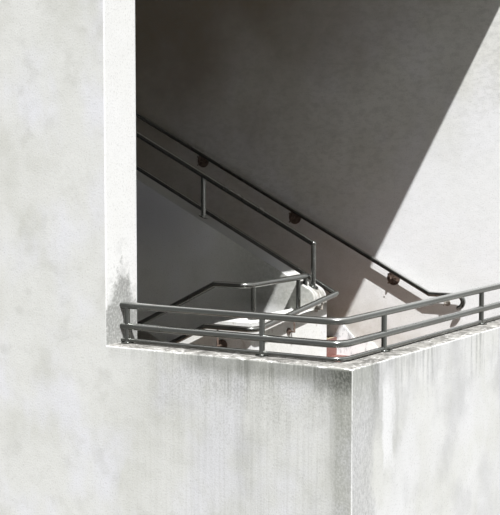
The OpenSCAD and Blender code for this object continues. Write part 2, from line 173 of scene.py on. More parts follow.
def paint(code):
    """The linear colour of an sRGB hex code."""
    parts = [to_linear(int(code[i:i + 2], 16) / 255) for i in (1, 3, 5)]
    return (*parts, 1.0)


class StairFinish(bpy.types.PropertyGroup):
    wall_colour: bpy.props.FloatVectorProperty(
        name="Wall paint", description="Clean off-white paint on the render",
        subtype="COLOR", size=4, min=0, max=1, default=paint("#e6e6e2"))
    dirt_colour: bpy.props.FloatVectorProperty(
        name="Rain dirt", description="Dark streaks that rain leaves",
        subtype="COLOR", size=4, min=0, max=1, default=paint("#74756e"))
    floor_colour: bpy.props.FloatVectorProperty(
        name="Floor paint",
        description="Red oxide paint on the steps and landings",
        subtype="COLOR", size=4, min=0, max=1, default=paint("#7b554d"))
    tube_colour: bpy.props.FloatVectorProperty(
        name="Tube", description="Satin grey of the steel tubes",
        subtype="COLOR", size=4, min=0, max=1, default=paint("#8f918e"))
    rust_colour: bpy.props.FloatVectorProperty(
        name="Rust", description="Brown of the wall plates",
        subtype="COLOR", size=4, min=0, max=1, default=paint("#6a5a50"))
    arris: bpy.props.FloatProperty(
        name="Arris", description="Width of the worn edges of the concrete",
        subtype="DISTANCE", unit="LENGTH", min=0.002, max=0.02, default=0.008)


class StairFixings(bpy.types.PropertyGroup):
    bolt_across: bpy.props.FloatProperty(
        name="Bolt head", description="Width across a flange bolt's head",
        subtype="DISTANCE", unit="LENGTH", min=0.006, max=0.016, default=0.011)
    screw_across: bpy.props.FloatProperty(
        name="Screw head", description="Width of a wall plate's screw head",
        subtype="DISTANCE", unit="LENGTH", min=0.006, max=0.016, default=0.012)
    weld: bpy.props.FloatProperty(
        name="Weld", description="Thickness of the weld round a post's ends",
        subtype="DISTANCE", unit="LENGTH", min=0.002, max=0.008, default=0.004)
    nosing_width: bpy.props.FloatProperty(
        name="Nosing", description="Width of the pale strip on a step's edge",
        subtype="DISTANCE", unit="LENGTH", min=0.02, max=0.08, default=0.05)


class StairStage(bpy.types.PropertyGroup):
    sun_strength: bpy.props.FloatProperty(
        name="Key light", description="Strength of the sun lamp",
        min=0, max=10, default=6.8)
    back_strength: bpy.props.FloatProperty(
        name="Back light", description="Strength of the soft lamp behind",
        min=0, max=10, default=2.0)
    fill_strength: bpy.props.FloatProperty(
        name="Fill light", description="Strength of the soft light overhead",
        min=0, max=2, default=0.11)
    lens: bpy.props.FloatProperty(
        name="Lens", description="Focal length of the camera",
        subtype="DISTANCE_CAMERA", min=20, max=300, default=102.7)


class Field:
    """What varies over a surface; sums with it add their nodes."""

    def __init__(self, tree, socket):
        self.tree = tree
        self.socket = socket

    def calc(self, operation, first, second=0.0):
        """What a sum with two values or fields comes to."""
        return Field(self.tree, add(self.tree, "ShaderNodeMath", {
            0: first, 1: second}, operation=operation).outputs[0])

    def __add__(self, other):
        return self.calc("ADD", self, other)

    def __radd__(self, other):
        return self.calc("ADD", other, self)

    def __sub__(self, other):
        return self.calc("SUBTRACT", self, other)

    def __rsub__(self, other):
        return self.calc("SUBTRACT", other, self)

    def __mul__(self, other):
        return self.calc("MULTIPLY", self, other)

    def __truediv__(self, other):
        return self.calc("DIVIDE", self, other)

    def __abs__(self):
        return self.calc("ABSOLUTE", self)

    def fade(self, start, end, first=0.0, last=1.0):
        """Goes smoothly from first at start to last at end."""
        return Field(self.tree, add(self.tree, "ShaderNodeMapRange", {
            0: self, 1: start, 2: end, 3: first, 4: last},
            interpolation_type="SMOOTHSTEP").outputs[0])

    def between(self, start, end, soft):
        """1 from start to end, with soft sides."""
        return self.fade(start - soft, start) * self.fade(end + soft, end)


def plug(tree, socket, value):
    """Links what varies to a socket, or sets the socket to a plain value."""
    if isinstance(value, Field):
        value = value.socket
    if isinstance(value, bpy.types.NodeSocket):
        tree.links.new(value, socket)
    else:
        socket.default_value = value


def add(tree, kind, inputs=None, **settings):
    """Adds a node, sets it up and links or fills its inputs."""
    made = tree.nodes.new(kind)
    for name, value in settings.items():
        setattr(made, name, value)
    for socket, value in (inputs or {}).items():
        plug(tree, made.inputs[socket], value)
    return made


def coat(under, over, amount):
    """The colour under, with the colour over laid on it by amount."""
    under, over = (paint(c) if isinstance(c, str) else c
                   for c in (under, over))
    return Field(amount.tree, add(amount.tree, "ShaderNodeMix", {
        0: amount, 6: under, 7: over}, data_type="RGBA").outputs[2])


class Surface:
    """A new material: its shader, the places on it and its dirt."""

    def __init__(self, name, dirt=None):
        self.dirt = dirt
        self.material = bpy.data.materials.new(name)
        self.material.use_nodes = True
        self.tree = self.material.node_tree
        self.tree.nodes.clear()
        self.shader = add(self.tree, "ShaderNodeBsdfPrincipled")
        add(self.tree, "ShaderNodeOutputMaterial",
            {"Surface": self.shader.outputs[0]})
        self.place = add(self.tree, "ShaderNodeTexCoord").outputs["Object"]
        self.x, self.y, self.z = self.along_axes(self.place)

    def along_axes(self, vector):
        """The three parts of a vector."""
        parts = add(self.tree, "ShaderNodeSeparateXYZ", {0: vector}).outputs
        return [Field(self.tree, part) for part in parts]

    def facing(self, axis):
        """How far a face looks along an axis, from -1 to 1."""
        around = add(self.tree, "ShaderNodeNewGeometry")
        return self.along_axes(around.outputs["Normal"])[axis]

    def mottle(self, per_metre, detail=4.0, stretch=(1, 1, 1), shift=0.0,
              rough=0.55):
        """Noise with per_metre waves to the metre.

        stretch slows it along an axis, and each shift is another pattern.
        """
        mapped = add(self.tree, "ShaderNodeMapping", {
            "Vector": self.place, "Scale": stretch,
            "Location": (shift, shift * 0.7, shift * 0.4)}).outputs[0]
        return Field(self.tree, add(self.tree, "ShaderNodeTexNoise", {
            "Vector": mapped, "Scale": per_metre, "Detail": detail,
            "Roughness": rough}).outputs[0])

    def finish(self, colour, roughness, bumps=None, **others):
        """Fills the shader; bumps has a height, its depth and its strength."""
        values = {"Base Color": colour, "Roughness": roughness, **others}
        if bumps:
            height, depth, strength = bumps
            values["Normal"] = add(self.tree, "ShaderNodeBump", {
                "Height": height, "Distance": depth,
                "Strength": strength}).outputs[0]
        for name, value in values.items():
            plug(self.tree, self.shader.inputs[name], value)
        return self.material


# Emulsion paint on trowelled cement render: matt and faintly grainy, with
# soft clouds where it was patched in a cooler or a warmer white. The grain,
# about 1 mm in the real render, is drawn some ten times as coarse to show
def painted_render(name, finish, stains=(), cloudy=0.5):
    on = Surface(name, tuple(finish.dirt_colour))
    warm = on.mottle(1.9, 4, (1, 1, 0.9), 3).fade(0.4, 0.68)
    colour = coat(tuple(finish.wall_colour), "#d1d1c9", warm * cloudy)
    cool = on.mottle(2.2, 3, (1, 1, 0.7), 12).fade(0.44, 0.66)
    colour = coat(colour, "#ebebf0", cool * cloudy)
    small = on.mottle(6, 5, shift=7).fade(0.52, 0.72)
    colour = coat(colour, "#bfbfb8", small * (cloudy * 0.4))
    for stain in stains:
        colour = stain(on, colour)
    splash = (on.z + on.mottle(5, 4, shift=2) * 0.35).fade(0.5, 0.15)
    colour = coat(colour, "#8d8a7c", splash * 0.5)
    grain = on.mottle(95, 4, shift=1)
    colour = coat(colour, "#8f8f88", grain.fade(0.52, 0.72, 0, 0.28))
    trowel = on.mottle(9, 4, shift=6)
    return on.finish(colour, trowel.fade(0.3, 0.7, 0.78, 0.92),
                     (grain * 0.5 + trowel, 4 * MM, 0.5), IOR=PAINT_IOR)


# The parapet's paint is greyer than the tall wall's, with a gritty mottle
# that is strongest under its top and near the corner
def grey_parapet(on, colour):
    down = cap_z - on.z
    inside = (on.x.fade(jamb_x - 0.1, jamb_x + 0.8) * down.fade(-0.02, 0.0)
              * on.y.fade(front_y + 0.008, front_y + 0.004))
    cloud = on.mottle(2.6, 5, (1, 1, 0.7), 81).fade(0.36, 0.66)
    fade = (down + cloud * -0.25).fade(0.45, 0.0, 0.22, 1.0)
    colour = coat(colour, "#b3b4ad", inside * fade * 0.26)
    grit = on.mottle(110, 5, (1, 1, 0.7), 85, 0.7).fade(0.46, 0.62)
    colour = coat(colour, "#75766f", inside * fade * grit * 0.32)
    lines = on.mottle(60, 3, (1, 1, 0.02), 88).fade(0.45, 0.65)
    colour = coat(colour, "#8a8b84", inside * lines * 0.12)
    soft = (down + on.mottle(6, 5, shift=89) * 0.12).fade(0.22, 0.1)
    near = on.x.fade(right_x - 1.25, right_x - 1.0)
    colour = coat(colour, "#85867d", inside * soft * near * 0.58)
    return coat(colour, "#b9bab3", inside * cloud * 0.08)


# Grime that rain washes off the parapet's top: fine vertical streaks that
# start at the edge, longer toward the corner, and fade out lower down
def rain_runs(on, colour):
    down = cap_z - on.z
    start = jamb_x - front_y
    amount = (on.x + on.y * -1.0).fade(start + 0.35, start + 0.85, 0.25, 1.0)
    wander = on.mottle(3.2, 3, (1, 1, 0.02), 21).fade(0.3, 0.7)
    reach = 0.06 + wander * amount * 0.3
    fine = on.mottle(50, 6, (1, 1, 0.03), 8, 0.7).fade(0.4, 0.6)
    blot = on.mottle(8, 6, (1, 1, 0.6), 28).fade(0.32, 0.6)
    run = (down / reach).fade(1.0, 0.1) * amount * fine * blot
    below = (down.fade(-0.03, -0.01) * on.x.fade(jamb_x - 0.02, jamb_x + 0.1)
             * on.y.fade(front_y + 0.004, front_y + 0.03, 1.0, 0.4))
    colour = coat(colour, on.dirt, run * below * 0.72)
    soft = on.mottle(7, 4, (1, 1, 0.06), 41).fade(0.5, 0.7)
    fade = down.fade(0.0, 1.6, 0.5, 0.1)
    return coat(colour, on.dirt, soft * fade * below * amount * 0.5)


# A dark damp band down the front of the corner: almost black under the top,
# greenish grey and speckled lower down
def corner_band(on, colour):
    down = cap_z - on.z
    ragged = on.x + (on.mottle(12, 5, (1, 1, 0.25), 14) - 0.5) * 0.10
    side = ragged.fade(right_x - 0.17, right_x - 0.09)
    front = on.y.fade(front_y + 0.006, front_y + 0.003)
    speck = on.mottle(90, 5, (1, 1, 0.7), 4).fade(0.36, 0.62, 0.5, 1.0)
    band = side * front * speck * down.fade(0.25, 1.1, 1, 0.75)
    colour = coat(colour, "#83857a", band * 0.55)
    wide = ragged.fade(right_x - 0.36, right_x - 0.06)
    top = (down + on.mottle(9, 4, (1, 1, 0.2), 9) * 0.16).fade(0.30, 0.13)
    dark = wide * top * front * down.fade(0.004, 0.02) * speck
    return coat(colour, "#4a4c46", dark * 0.9)


# The worn top edge: filler and newer paint show as a broken white line. Down
# the corner the white line is partly paler paint and partly a painted
# highlight where the worn arris catches the light
def chipped_edge_and_painted_glint(on, colour):
    down = cap_z - on.z
    ragged = on.mottle(26, 5, (1, 1, 0.4), 17)
    drip = on.mottle(19, 3, (1, 1, 0.02), 51).fade(0.7, 0.8, 0, 0.04)
    reach = ragged.fade(0.46, 0.7, 0.0, 0.011) + drip
    face = ((reach - down).fade(0.0, 0.004) * down.fade(-0.004, -0.001)
            * on.x.fade(jamb_x - 0.01, jamb_x))
    colour = coat(colour, "#f2f2ee", face)
    # A painted highlight down the corner arris, on paler paint
    corner = (on.x.fade(right_x - 0.005, right_x - 0.002)
              * on.y.fade(front_y + 0.005, front_y + 0.002)
              * ragged.fade(0.38, 0.46))
    return coat(colour, "#f4f4f1", corner * 0.8)


# The parapet's top: brown-grey dirt over flaking paint, paler flakes along
# its outer edge
def dirty_top(on, colour):
    level = on.facing(UP).fade(0.9, 0.98)
    patch = on.mottle(13, 6, shift=37, rough=0.75).fade(0.4, 0.6)
    top = coat("#56534e", "#9f9c96", patch)
    outer = on.x.calc("MINIMUM", right_x - on.x, on.y - front_y)
    flakes = (on.mottle(24, 6, shift=44, rough=0.7)
              + outer.fade(0.09, 0.0, 0.0, 0.07)).fade(0.55, 0.64)
    top = coat(top, "#dcdad6", flakes * 0.85)
    return coat(colour, top, level * 0.92)


# The roof's top: grey cement screed with tide marks where puddles dry
def roof_screed(on, colour):
    level = on.facing(UP).fade(0.9, 0.98)
    puddle = on.mottle(0.9, 4, shift=101)
    screed = coat("#898883", "#787771", puddle.fade(0.4, 0.62))
    tide = puddle.between(0.53, 0.55, 0.015)
    screed = coat(screed, "#a8a7a1", tide * 0.25)
    grain = on.mottle(12, 6, shift=103, rough=0.7).fade(0.4, 0.7)
    screed = coat(screed, "#9b9a95", grain * 0.35)
    return coat(colour, screed, level)


# The right face: broad pale and grey runs side by side, and a speckled grey
# margin next to the corner, damp at its top
def broad_runs(on, colour):
    down = cap_z - on.z
    wave = (on.mottle(6, 5, (1, 1, 0.5), 61) - 0.5) * 0.2
    across = (on.y - front_y) + wave
    side = on.x.fade(right_x - 0.006, right_x - 0.003)
    speck = on.mottle(60, 5, (1, 1, 0.6), 66).fade(0.4, 0.66)
    light = on.mottle(2.4, 3, (1, 1, 0.7), 27).fade(0.42, 0.62)
    colour = coat(colour, "#f0f0f1", light * side * 0.5)
    grey = on.mottle(2.2, 5, (1, 1, 0.9), 33).fade(0.44, 0.66)
    colour = coat(colour, "#b9b9b9",
                  grey * side * down.fade(0, 1.3, 0.5, 0.35))
    margin = across.between(0.0, 0.22, 0.06) * side
    colour = coat(colour, "#d4d4d3", margin * 0.75)
    dashes = on.mottle(90, 6, (1, 1, 0.5), 68, 0.75).fade(0.42, 0.62)
    colour = coat(colour, "#8b8c8a", margin * dashes * 0.42)
    damp = margin * (down + speck * 0.1).fade(0.35, 0.05)
    colour = coat(colour, "#a5a89c", damp * 0.45)
    streak = (across.between(0.24, 0.30, 0.03) * side
              * speck.fade(0, 1, 0.5, 1) * down.fade(0.5, 0.05))
    colour = coat(colour, on.dirt, streak * 0.6)
    wander = (on.mottle(4, 6, (1, 1, 0.6), 63, 0.7) - 0.5) * 0.3
    pale = ((across + wander).between(0.41, 0.49, 0.07) * side
            * (down + wander).between(0.2, 0.55, 0.16))
    colour = coat(colour, "#f6f6f6", pale * 0.85)
    lines = (on.mottle(26, 5, (1, 1, 0.06), 36).fade(0.46, 0.62)
             * on.mottle(5, 3, (1, 1, 0.2), 39).fade(0.4, 0.6))
    fade = (down + speck * 0.1).fade(0.02, 0.4, 0.5, 0.0)
    return coat(colour, "#7f807f", lines * side * fade)


# The jamb: nearly white, with grey mould low down round the rail ends
def jamb_mould(on, colour):
    jamb = (on.x.fade(jamb_x - 0.006, jamb_x - 0.003)
            * (cap_z - on.z).fade(0.001, -0.001))
    colour = coat(colour, "#f0f0ee", jamb * 0.85)
    cloud = on.mottle(9, 6, shift=19, rough=0.65)
    ragged = (on.z - cap_z) + (cloud - 0.5) * 0.7
    spread = ragged + abs(on.y - (front_y + 0.16)) * 1.5
    speck = on.mottle(60, 4, shift=23).fade(0.3, 0.6, 0.6, 1)
    mould = spread.fade(0.52, 0.40) * jamb * speck
    colour = coat(colour, "#7b7c78", mould * 0.8)
    faint = spread.fade(0.86, 0.5) * jamb * cloud.fade(0.5, 0.62)
    return coat(colour, "#a5a6a3", faint * 0.4)


# The back wall's inner face: painted shade, browner and darker toward its
# upper left, a beige tint below handrail level along the stair, and painted
# light, a whiter and cooler tone toward the open corner and lower down
def back_wall_tones(on, colour):
    inside = on.y.fade(back_y + 0.03, back_y + 0.01)
    cloud = on.mottle(1.7, 5, shift=91) - 0.5
    outward = (on.x + 1.25) * 0.4 + (5.0 - on.z) * 0.7 + cloud
    dull_patch_and_painted_shade = outward.fade(1.9, 0.3)
    # Painted shade: browner and darker toward the upper left, away from the open corner
    colour = coat(colour, "#827462", inside * dull_patch_and_painted_shade * 0.88)
    fine = on.mottle(28, 7, (0.5, 1, 1), 97, 0.75).fade(0.44, 0.62)
    colour = coat(colour, "#8f9189", inside * fine * 0.2)
    painted_light = outward.fade(1.8, 2.5)
    # Painted light: a whiter, cooler tone toward the open corner and lower down
    colour = coat(colour, "#f0f1f3", inside * painted_light * 0.7)
    above = on.z - (foot_x - on.x) * SLOPE
    # A beige tint below handrail level along the stair, strongest lower down
    beige_below_rail = (above.fade(cap_z + 0.1, cap_z + 0.0)
              * on.x.fade(foot_x + 1.05, foot_x + 0.95))
    mottle = on.mottle(8, 5, shift=95).fade(0.3, 0.7, 0.6, 1.0)
    low_down = above.fade(cap_z - 0.1, cap_z - 0.7, 0.35, 1.0)
    return coat(colour, "#bab7ae", inside * beige_below_rail * mottle * low_down)


# The inner parapets: painted shade greys and cools their faces away from the
# foot of the upper flight, most higher up; round the foot of the upper one its
# face is grimy above the handrail, and plaster is brushed round its rounded end
def smeared_foot(on, colour):
    up = on.facing(UP)
    # Painted shade: a bluish grey on the faces that don't look up, away from the foot
    painted_shade = (up.fade(0.7, 0.4) * on.x.fade(foot_x - 0.6, foot_x - 1.4)
            * on.z.fade(cap_z + 0.1, cap_z + 0.7, 0.1, 1.0))
    colour = coat(colour, "#b5b7c2", painted_shade * 0.75)
    top = up.fade(0.7, 0.85) * on.x.fade(foot_x - 0.1, foot_x - 0.6)
    colour = coat(colour, "#8f8e8a", top * 0.6)
    high = on.z.fade(cap_z - 0.04, cap_z + 0.05)
    front = (on.facing(BACK).fade(-0.4, -0.8) * high
             * on.x.fade(foot_x - 1.0, foot_x - 0.35))
    grime = on.mottle(30, 6, shift=77, rough=0.75).fade(0.34, 0.66, 0.7, 1.0)
    colour = coat(colour, "#95968f", front * grime * 0.9)
    end = (on.facing(RIGHT).fade(0.2, 0.5) * high
           * on.x.fade(foot_x - 0.3, foot_x - 0.2))
    colour = coat(colour, "#b9b8b3", end * 0.6)
    strokes = on.mottle(46, 4, (0.2, 1, 0.2), 71, 0.65).fade(0.42, 0.54)
    bare = on.mottle(9, 5, shift=73).fade(0.4, 0.6, 0.4, 1.0)
    colour = coat(colour, "#87847c", end * strokes * bare * 0.9)
    near = (on.x.fade(foot_x - 0.45, foot_x - 0.1)
            * on.z.fade(cap_z - 0.3, cap_z - 0.05))
    stain = on.mottle(22, 5, shift=75).fade(0.58, 0.7)
    return coat(colour, "#98897c", near * stain * 0.5)


# Red oxide floor paint rolled on concrete: satin and faded, rubbed through
# to grey cement where people walk, with a bare grey underside. The roller's
# grain, about 1 mm, is drawn some four times as coarse to show
def floor_paint(name, finish, walked=None):
    on = Surface(name)
    faded = on.mottle(7, 6, shift=2).fade(0.46, 0.7)
    colour = coat(tuple(finish.floor_colour), "#8b726c", faded * 0.55)
    chips = on.mottle(38, 5, shift=9).fade(0.64, 0.69)
    colour = coat(colour, "#a39e96", chips * 0.7)
    if walked:
        (x0, y0), (x1, y1) = walked
        sway = (on.mottle(4, 5, shift=15) - 0.5) * 0.5
        path = ((on.x + sway).between(x0, x1, 0.2)
                * (on.y + sway).between(y0, y1, 0.2))
        colour = coat(colour, "#a09c94", path * 0.85)
    colour = coat(colour, "#c9c8c2", on.facing(UP).fade(-0.3, -0.4))
    return on.finish(colour, faded.fade(0, 1, 0.5, 0.72),
                     (on.mottle(240, 3, shift=1), 1.5 * MM, 0.5),
                     IOR=PAINT_IOR)


# Stainless tube with a satin finish, greyer in patches. Its colour also holds
# painted reflection: a painted highlight along its top, and painted shade on
# its underside and its sides, most on the side to the front
def satin_tube(name, finish):
    on = Surface(name)
    dull_patch_and_painted_shade = on.mottle(2.5, 3, shift=2).fade(0.35, 0.7)
    colour = coat(tuple(finish.tube_colour), "#7d7a74", dull_patch_and_painted_shade * 0.5)
    # Painted shade on the sides that face the front
    front = on.facing(BACK).fade(-0.3, -0.85)
    colour = coat(colour, "#50514f", front * 0.75)
    up = on.facing(UP)
    # A painted highlight along the top
    colour = coat(colour, "#d3d5d2", up.fade(0.45, 0.85))
    # Painted shade on the underside
    colour = coat(colour, "#6e6f6b", up.fade(-0.3, -0.75))
    return on.finish(colour, dull_patch_and_painted_shade.fade(0, 1, 0.2, 0.3), Metallic=1.0)


# Mild steel plates that have rusted through their paint: brown and matt,
# with darker pits and a little grey paint left. Near the foot of the upper
# flight they are paler, partly plaster over them and partly painted light
def rusted_plate(name, finish):
    on = Surface(name)
    bloom = on.mottle(45, 6, shift=3).fade(0.4, 0.68)
    colour = coat(tuple(finish.rust_colour), "#453a34", bloom)
    left = on.mottle(28, 4, shift=13).fade(0.6, 0.7)
    colour = coat(colour, "#8a8781", left * 0.6)
    # Plaster and painted light: paler plates near the foot of the upper flight
    plaster_and_painted_light = on.x.fade(foot_x - 0.02, foot_x) * on.y.fade(0.1, 0.2)
    colour = coat(colour, "#aaa49b", plaster_and_painted_light * 0.85)
    return on.finish(colour, bloom.fade(0, 1, 0.62, 0.85),
                     (bloom, 1.2 * MM, 0.6), Metallic=0.25)


# Brush-painted cement skirting: white and slightly glossy, scuffed grey
def skirting_paint(name):
    on = Surface(name)
    scuff = on.mottle(14, 6, (1, 1, 0.6), 3, 0.7).fade(0.48, 0.64)
    colour = coat("#f1f5f6", "#8d9194", scuff * 0.65)
    return on.finish(colour, 0.5, (on.mottle(60, 3), 1 * MM, 0.4),
                     IOR=PAINT_IOR)


# Cast cement strip on the step edges: pale buff with grit showing, which is
# drawn at 3 mm, coarser than real sand, to show
def nosing_grit(name):
    on = Surface(name)
    grit = on.mottle(300, 2)
    colour = coat("#dccfae", "#a89878", grit.fade(0.5, 0.64))
    worn = on.mottle(12, 4, shift=4).fade(0.5, 0.7)
    colour = coat(colour, "#b08a78", worn * 0.5)
    return on.finish(colour, 0.82, (grit, 2 * MM, 0.6), IOR=PAINT_IOR)


def cover(name, material):
    """Gives a CAD node its finish."""
    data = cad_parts[name].data
    data.materials.clear()
    data.materials.append(material)


def surface_tests():
    """One nearest-surface test for each concrete node."""
    tests = {}
    for name in CONCRETE:
        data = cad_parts[name].data
        tests[name] = BVHTree.FromPolygons(
            [vertex.co for vertex in data.vertices],
            [face.vertices for face in data.polygons])
    return tests


def buried(point, tests, own):
    """True where a point lies inside a concrete node other than own."""
    for name, test in tests.items():
        if name == own:
            continue
        place, normal, _, _ = test.find_nearest(point, NEAR)
        if place is not None and (point - place).dot(normal) < 0:
            return True
    return False


def open_arris(edge, tests, own):
    """True where an outward edge has air on both of its faces."""
    if (len(edge.link_faces) != 2
            or edge.calc_face_angle_signed(0) < WORN_ANGLE):
        return False
    first, second = (face.normal * AIR for face in edge.link_faces)
    start, end = (vertex.co for vertex in edge.verts)
    for share in (0.1, 0.5, 0.9):
        place = start.lerp(end, share)
        if (buried(place + first - second, tests, own)
                or buried(place + second - first, tests, own)):
            return False
    return True


def joined_mesh(name, distance):
    """A copy of a node's mesh with its loose triangles joined."""
    made = bmesh.new()
    made.from_mesh(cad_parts[name].data)
    bmesh.ops.remove_doubles(made, verts=made.verts, dist=distance)
    return made


def link(name, data):
    """A new object with this data, put in the scene."""
    made = bpy.data.objects.new(name, data)
    bpy.context.scene.collection.objects.link(made)
    return made


def stand_in(name, ending, made, material):
    """Puts a piece with the mesh made in the place of a node."""
    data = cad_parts[name].data.copy()
    made.to_mesh(data)
    made.free()
    data.materials.clear()
    data.materials.append(material)
    piece = link(name + ending, data)
    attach(piece, "root")
    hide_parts(name)


def worn_copy(name, tests, width, material, cuts=()):
    """A copy of a concrete node with its open edges rounded by wear.

    It is cut at the heights in cuts, where another piece ends against it.
    """
    made = joined_mesh(name, JOIN)
    bmesh.ops.dissolve_limit(made, angle_limit=FLAT, verts=made.verts,
                             edges=made.edges)
    for height in cuts:
        bmesh.ops.bisect_plane(
            made, geom=made.verts[:] + made.edges[:] + made.faces[:],
            plane_co=(0, 0, height), plane_no=(0, 0, 1))
    worn = [edge for edge in made.edges if open_arris(edge, tests, name)]
    bmesh.ops.bevel(made, geom=worn, offset=width, segments=3, profile=0.5,
                    affect="EDGES", clamp_overlap=True)
    stand_in(name, "_worn", made, material)


def smooth_copy(name, material):
    """A copy of a round node with its facets shaded smooth."""
    made = joined_mesh(name, TUBE_JOIN)
    for face in made.faces:
        face.smooth = True
    for edge in made.edges:
        if len(edge.link_faces) == 2 and edge.calc_face_angle(0) > CREASE:
            edge.smooth = False
    stand_in(name, "_smooth", made, material)


def pattern_tree(name, sockets):
    """A Geometry Nodes tree, and its inputs by name."""
    tree = bpy.data.node_groups.new(name, "GeometryNodeTree")
    ports = tree.interface
    for label, kind in [("Geometry", "Geometry")] + sockets:
        ports.new_socket(label, in_out="INPUT",
                         socket_type="NodeSocket" + kind)
    ports.new_socket("Geometry", in_out="OUTPUT",
                     socket_type="NodeSocketGeometry")
    return tree, add(tree, "NodeGroupInput").outputs


def finish_tree(tree, points, shape, material):
    """Ends a tree with the shape at each point, turned as the point says."""
    turn = add(tree, "GeometryNodeInputNamedAttribute",
               {"Name": "turn"}, data_type="FLOAT_VECTOR").outputs[0]
    turn = add(tree, "FunctionNodeEulerToRotation", {0: turn}).outputs[0]
    placed = add(tree, "GeometryNodeInstanceOnPoints", {
        "Points": points, "Instance": shape, "Rotation": turn}).outputs[0]
    solid = add(tree, "GeometryNodeRealizeInstances", {0: placed}).outputs[0]
    dressed = add(tree, "GeometryNodeSetMaterial", {
        "Geometry": solid, "Material": material}).outputs[0]
    add(tree, "NodeGroupOutput", {0: dressed})


def points_object(name, places, turns):
    """Loose points, each with the turn that its fixing takes."""
    data = bpy.data.meshes.new(name)
    data.from_pydata([tuple(place) for place in places], [], [])
    turn = data.attributes.new("turn", "FLOAT_VECTOR", "POINT")
    for item, value in zip(turn.data, turns):
        item.vector = value
    return link(name, data)


def grow(made, tree, values):
    """Runs the tree on the points and keeps its result as a plain mesh."""
    modifier = made.modifiers.new("pattern", "NODES")
    modifier.node_group = tree
    for port in tree.interface.items_tree:
        if port.in_out == "INPUT" and port.name in values:
            modifier[port.identifier] = values[port.name]
    ready = made.evaluated_get(bpy.context.evaluated_depsgraph_get())
    data = bpy.data.meshes.new_from_object(ready)
    made.modifiers.remove(modifier)
    made.data = data
    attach(made, "root")


def head_ring_tree(name, sides, material):
    """A ring of bolt or screw heads on their washers about each point."""
    tree, given = pattern_tree(name, [
        ("Ring", "Float"), ("Across", "Float"), ("Height", "Float"),
        ("Count", "Int")])
    radius = Field(tree, given["Across"]) / 2.0
    height = Field(tree, given["Height"])
    head = add(tree, "GeometryNodeMeshCylinder", {
        "Vertices": sides, "Radius": radius, "Depth": height}).outputs[0]
    washer = add(tree, "GeometryNodeMeshCylinder", {
        "Vertices": 16, "Radius": radius * WASHER_WIDTH,
        "Depth": height * WASHER_HEIGHT}).outputs[0]
    bolt = add(tree, "GeometryNodeJoinGeometry")
    plug(tree, bolt.inputs[0], head)
    plug(tree, bolt.inputs[0], washer)
    circle = add(tree, "GeometryNodeMeshCircle", {
        "Vertices": given["Count"], "Radius": given["Ring"]}).outputs[0]
    ring = add(tree, "GeometryNodeInstanceOnPoints", {
        "Points": circle, "Instance": bolt.outputs[0]}).outputs[0]
    finish_tree(tree, given["Geometry"], ring, material)
    return tree


def weld_tree(material):
    """A bead of weld round each point, in its plane."""
    tree, given = pattern_tree("weld beads", [
        ("Radius", "Float"), ("Thickness", "Float")])
    path = add(tree, "GeometryNodeCurvePrimitiveCircle", {
        "Resolution": 20, "Radius": given["Radius"]}).outputs[0]
    section = add(tree, "GeometryNodeCurvePrimitiveCircle", {
        "Resolution": 6, "Radius": given["Thickness"]}).outputs[0]
    bead = add(tree, "GeometryNodeCurveToMesh", {
        "Curve": path, "Profile Curve": section}).outputs[0]
    finish_tree(tree, given["Geometry"], bead, material)
    return tree


def nosing_tree(material):
    """One strip across each step edge."""
    tree, given = pattern_tree("step nosings", [
        ("Width", "Float"), ("Length", "Float"), ("Thickness", "Float")])
    size = add(tree, "ShaderNodeCombineXYZ", {
        0: given["Width"], 1: given["Length"],
        2: given["Thickness"]}).outputs[0]
    strip = add(tree, "GeometryNodeMeshCube", {"Size": size}).outputs[0]
    finish_tree(tree, given["Geometry"], strip, material)
    return tree


def loose_parts(name):
    """The lowest and highest corners of each separate solid in a node."""
    made = joined_mesh(name, JOIN)
    left = set(made.verts)
    parts = []
    while left:
        stack = [left.pop()]
        group = list(stack)
        while stack:
            for edge in stack.pop().link_edges:
                for vertex in edge.verts:
                    if vertex in left:
                        left.remove(vertex)
                        stack.append(vertex)
                        group.append(vertex)
        parts.append([
            Vector([end(vertex.co[axis] for vertex in group)
                    for axis in range(3)]) for end in (min, max)])
    made.free()
    return sorted(parts, key=lambda corners: tuple(corners[0]))


def step_edges(name, way):
    """The edge of each step of a flight, from its own mesh.

    way is 1 where the treads reach to the right of their edges, or -1.
    """
    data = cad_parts[name].data
    levels = {}
    for face in data.polygons:
        if face.normal.z > LEVEL:
            xs = [data.vertices[i].co.x for i in face.vertices]
            z = round(data.vertices[face.vertices[0]].co.z, 3)
            levels.setdefault(z, []).extend(xs)
    return [(min(xs) if way > 0 else max(xs), z) for z, xs in levels.items()]


def plate_spots(name):
    """The face, turn and width of each wall plate of a bracket node."""
    lower_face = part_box("lower_inner_parapet")[0][1]
    upper_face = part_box("upper_inner_parapet")[1][1]
    near = 10 * MM
    quarter = math.pi / 2
    spots = []
    for start, end in loose_parts(name):
        size = end - start
        middle = (start + end) / 2
        if name == "lower_wall_brackets" or start.y > upper_face - near:
            across = size.x
            x, y = middle.x, start.y + PLATE
            turn = (-quarter, 0, 0)
        elif name == "upper_wall_brackets" or end.y < lower_face + near:
            across = size.x
            x, y = middle.x, end.y - PLATE
            turn = (quarter, 0, 0)
        else:
            across = size.y
            x, y = start.x + PLATE, middle.y
            turn = (0, quarter, 0)
        spots.append((Vector((x, y, start.z + across / 2)), turn, across))
    return spots


def flange_spots(name, pitch):
    """The middle and turn of each flange; pitch tilts the ones on slopes."""
    places, turns = [], []
    for start, end in loose_parts(name):
        level = end.z - start.z <= 2 * FLANGE
        tilt = 0 if level else pitch * math.atan(SLOPE)
        up = Vector((math.sin(tilt), 0, math.cos(tilt)))
        places.append((start + end) / 2 + up * FLANGE / 2)
        turns.append((0, tilt, 0))
    return places, turns


